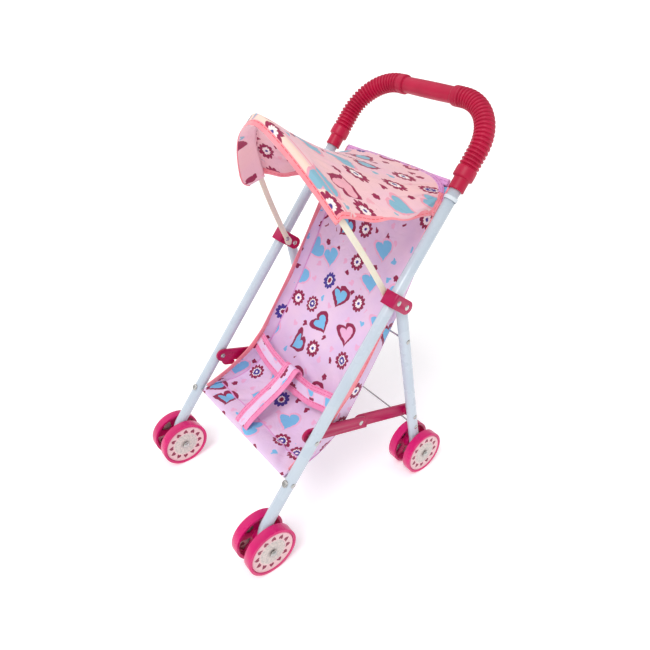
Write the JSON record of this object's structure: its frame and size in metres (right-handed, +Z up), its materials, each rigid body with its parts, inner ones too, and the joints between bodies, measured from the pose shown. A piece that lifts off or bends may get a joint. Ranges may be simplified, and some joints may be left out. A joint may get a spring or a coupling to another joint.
{
  "type": "doll stroller",
  "caption": "Toy umbrella stroller for a doll: folding tube frame with push handle, cloth sling seat with straps, tilting canopy and twin wheels on every leg.",
  "frame": {"origin": "floor level under the middle of the stroller's overall length, on its left-right mid-plane", "axes": "+Z up from the floor, +Y towards the push handle at the back, +X to the right as seen from the front"},
  "size_m": [0.2996, 0.4254, 0.5529],
  "materials": {
    "leg_paint": "smooth gloss white powder paint",
    "grip_vinyl": "soft moulded vinyl, semi-matt",
    "joint_plastic": "moulded polypropylene, satin gloss",
    "wheel_plastic": "moulded polypropylene, satin gloss",
    "disc_plastic": "moulded pale pink insert with printed hearts",
    "seat_cloth": "printed woven polyester",
    "canopy_cloth": "printed woven polyester, lit through",
    "binding_tape": "folded satin binding tape",
    "bow_plastic": "flat extruded plastic strip, satin",
    "bright_steel": "nickel-plated steel"
  },
  "bodies": {
    "frame": {"front_leg_left": "leg_paint", "front_leg_right": "leg_paint", "handle_tube": "leg_paint", "grip_left": "grip_vinyl", "grip_right": "grip_vinyl", "push_bar": "grip_vinyl", "bracket_left": "joint_plastic", "bracket_right": "joint_plastic", "bow_rivets": "bright_steel", "rear_leg_rivets": "bright_steel", "front_link_rivets": "bright_steel", "seat_front_wire": "bright_steel", "front_axle_left": "bright_steel", "front_axle_right": "bright_steel", "front_axle_caps": "bright_steel", "seat_sling": "seat_cloth", "hem_loops": "binding_tape", "waist_strap": "binding_tape", "crotch_strap": "binding_tape", "canopy": "canopy_cloth"},
    "canopy_bow": {"canopy_bow": "bow_plastic"},
    "rear_frame": {"rear_leg_left": "leg_paint", "rear_leg_right": "leg_paint", "rear_wire_upper": "bright_steel", "rear_wire_lower": "bright_steel", "rear_link_rivets": "bright_steel", "rear_axle_left": "bright_steel", "rear_axle_right": "bright_steel", "rear_axle_caps": "bright_steel"},
    "link_front_left": {"link_front_left": "joint_plastic", "mid_rivet_front_left": "bright_steel"},
    "link_rear_left": {"link_rear_left": "joint_plastic", "mid_rivet_rear_left": "bright_steel"},
    "link_front_right": {"link_front_right": "joint_plastic", "mid_rivet_front_right": "bright_steel"},
    "link_rear_right": {"link_rear_right": "joint_plastic", "mid_rivet_rear_right": "bright_steel"},
    "wheel_front_left_outer": {"wheel_front_left_outer": "wheel_plastic", "disc_front_left_outer": "disc_plastic"},
    "wheel_front_left_inner": {"wheel_front_left_inner": "wheel_plastic", "disc_front_left_inner": "disc_plastic"},
    "wheel_front_right_inner": {"wheel_front_right_inner": "wheel_plastic", "disc_front_right_inner": "disc_plastic"},
    "wheel_front_right_outer": {"wheel_front_right_outer": "wheel_plastic", "disc_front_right_outer": "disc_plastic"},
    "wheel_rear_left_outer": {"wheel_rear_left_outer": "wheel_plastic", "disc_rear_left_outer": "disc_plastic"},
    "wheel_rear_left_inner": {"wheel_rear_left_inner": "wheel_plastic", "disc_rear_left_inner": "disc_plastic"},
    "wheel_rear_right_inner": {"wheel_rear_right_inner": "wheel_plastic", "disc_rear_right_inner": "disc_plastic"},
    "wheel_rear_right_outer": {"wheel_rear_right_outer": "wheel_plastic", "disc_rear_right_outer": "disc_plastic"}
  },
  "joints": [
    {"name": "rear_fold", "type": "hinge", "parent": "frame", "child": "rear_frame", "pos_m": [0, 0.04549, 0.31245], "axis": [-1, 0, 0], "range_deg": [0, 44], "deforming": ["seat_sling", "waist_strap", "crotch_strap"]},
    {"name": "bow_tilt", "type": "hinge", "parent": "frame", "child": "canopy_bow", "pos_m": [0, 0.03083, 0.3239], "axis": [-1, 0, 0], "range_deg": [0, 45], "deforming": ["canopy"]},
    {"name": "link_front_turn_left", "type": "hinge", "parent": "frame", "child": "link_front_left", "pos_m": [0, -0.09519, 0.16259], "axis": [1, 0, 0], "range_deg": [0, 57.46]},
    {"name": "link_rear_turn_left", "type": "hinge", "parent": "rear_frame", "child": "link_rear_left", "pos_m": [0, 0.08548, 0.10629], "axis": [-1, 0, 0], "range_deg": [0, 56.17]},
    {"name": "link_front_turn_right", "type": "hinge", "parent": "frame", "child": "link_front_right", "pos_m": [0, -0.09519, 0.16259], "axis": [1, 0, 0], "range_deg": [0, 57.46]},
    {"name": "link_rear_turn_right", "type": "hinge", "parent": "rear_frame", "child": "link_rear_right", "pos_m": [0, 0.08548, 0.10629], "axis": [-1, 0, 0], "range_deg": [0, 56.17]},
    {"name": "wheel_front_left_outer_spin", "type": "hinge", "parent": "frame", "child": "wheel_front_left_outer", "pos_m": [0, -0.17769, 0.035], "axis": [1, 0, 0], "continuous": true},
    {"name": "wheel_front_left_inner_spin", "type": "hinge", "parent": "frame", "child": "wheel_front_left_inner", "pos_m": [0, -0.17769, 0.035], "axis": [1, 0, 0], "continuous": true},
    {"name": "wheel_front_right_inner_spin", "type": "hinge", "parent": "frame", "child": "wheel_front_right_inner", "pos_m": [0, -0.17769, 0.035], "axis": [1, 0, 0], "continuous": true},
    {"name": "wheel_front_right_outer_spin", "type": "hinge", "parent": "frame", "child": "wheel_front_right_outer", "pos_m": [0, -0.17769, 0.035], "axis": [1, 0, 0], "continuous": true},
    {"name": "wheel_rear_left_outer_spin", "type": "hinge", "parent": "rear_frame", "child": "wheel_rear_left_outer", "pos_m": [0, 0.09931, 0.035], "axis": [1, 0, 0], "continuous": true},
    {"name": "wheel_rear_left_inner_spin", "type": "hinge", "parent": "rear_frame", "child": "wheel_rear_left_inner", "pos_m": [0, 0.09931, 0.035], "axis": [1, 0, 0], "continuous": true},
    {"name": "wheel_rear_right_inner_spin", "type": "hinge", "parent": "rear_frame", "child": "wheel_rear_right_inner", "pos_m": [0, 0.09931, 0.035], "axis": [1, 0, 0], "continuous": true},
    {"name": "wheel_rear_right_outer_spin", "type": "hinge", "parent": "rear_frame", "child": "wheel_rear_right_outer", "pos_m": [0, 0.09931, 0.035], "axis": [1, 0, 0], "continuous": true}
  ],
  "couplings": [
    {"joint": "link_front_turn_left", "follows": "rear_fold", "ratio": 1.3049},
    {"joint": "link_rear_turn_left", "follows": "rear_fold", "ratio": 1.2754},
    {"joint": "link_front_turn_right", "follows": "rear_fold", "ratio": 1.3049},
    {"joint": "link_rear_turn_right", "follows": "rear_fold", "ratio": 1.2754}
  ]
}
